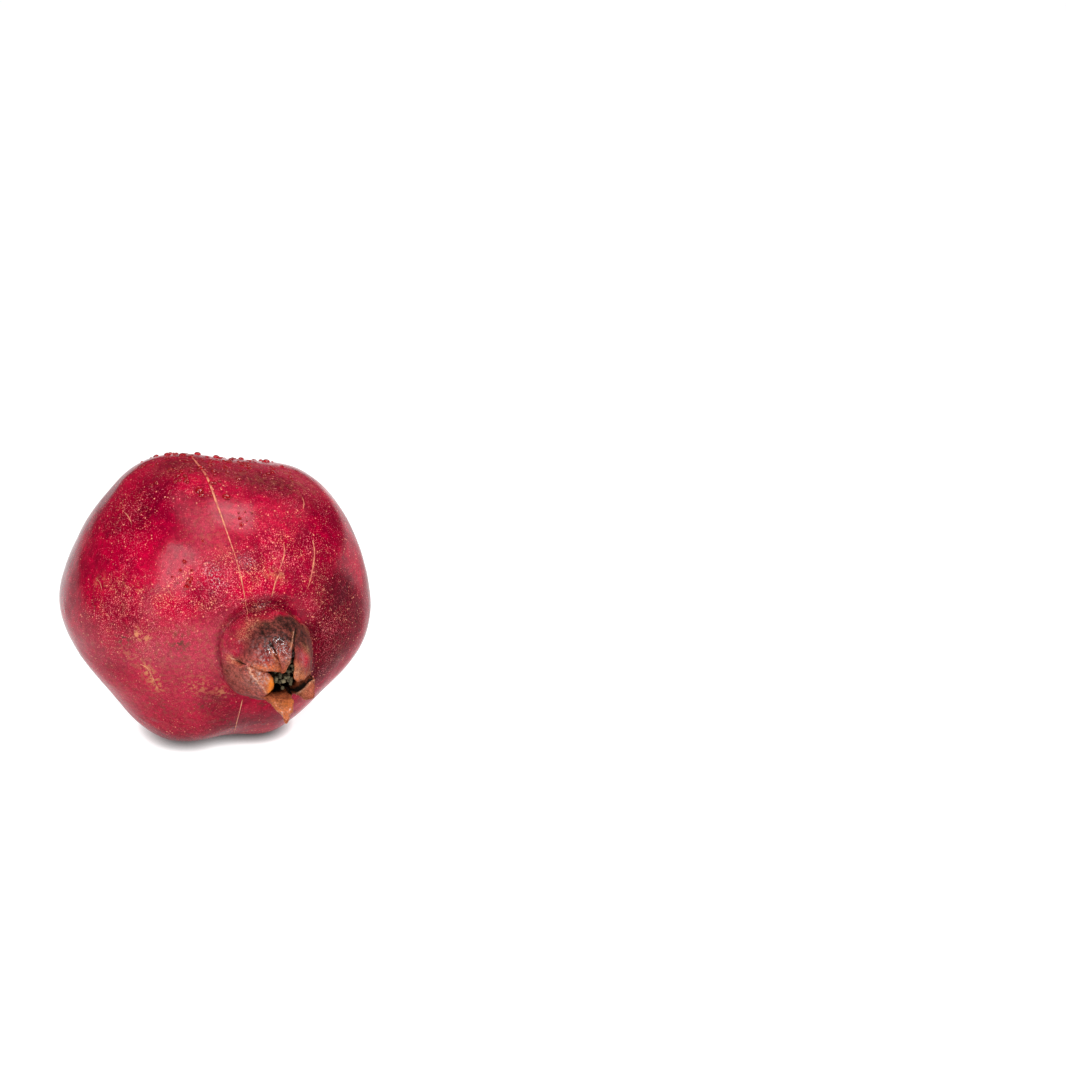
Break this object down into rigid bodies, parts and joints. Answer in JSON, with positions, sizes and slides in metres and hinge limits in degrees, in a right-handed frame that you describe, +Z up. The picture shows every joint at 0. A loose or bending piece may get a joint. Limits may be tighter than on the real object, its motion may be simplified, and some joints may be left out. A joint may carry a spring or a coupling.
{
  "type": "whole pomegranate fruit",
  "caption": "Whole ripe pomegranate lying on its side on a small flat spot, ribbed red rind, open calyx crown with dried stamens, stub of stalk.",
  "frame": {"origin": "centre of the small flat spot on the body that the fruit rests on", "axes": "+Z up away from the rest, calyx crown towards -Y and four degrees below level, stem end towards +Y, +X to the right seen from the crown's side"},
  "size_m": [0.0974, 0.1091, 0.089],
  "materials": {
    "rind": "smooth waxy red rind with fine tan speckle, orange brown sepals",
    "dried_stamens": "dry, matt, grey green",
    "stalk_wood": "rough bark, pale cut end"
  },
  "bodies": {
    "root": {"fruit": "rind", "stamens": "dried_stamens", "stem_stub": "stalk_wood"}
  },
  "joints": []
}
